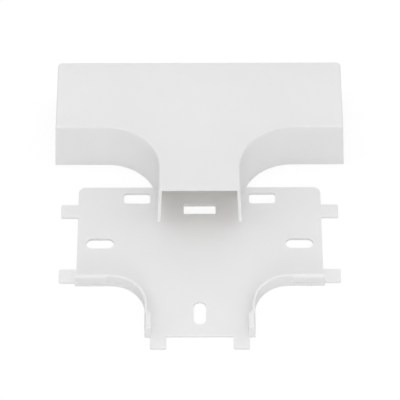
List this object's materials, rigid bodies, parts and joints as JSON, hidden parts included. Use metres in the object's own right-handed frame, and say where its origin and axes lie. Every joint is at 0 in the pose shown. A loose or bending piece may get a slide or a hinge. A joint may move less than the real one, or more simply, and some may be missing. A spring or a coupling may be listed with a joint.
{
  "type": "trunking tee fitting",
  "caption": "Trunking tee with a slotted flat base, a snap flange round its inside corners, and a drafted tee-shaped cover shell taken off and laid against the base.",
  "frame": {"origin": "crossing of the run's and the branch's centre lines on the base's mounting face", "axes": "+X along the main run, +Y away from the branch, +Z out of the mounting face"},
  "size_m": [0.1476, 0.1618, 0.03],
  "materials": {
    "white_plastic": "satin, fine moulded texture"
  },
  "bodies": {
    "root": {"base": "white_plastic", "cover": "white_plastic"}
  },
  "joints": []
}
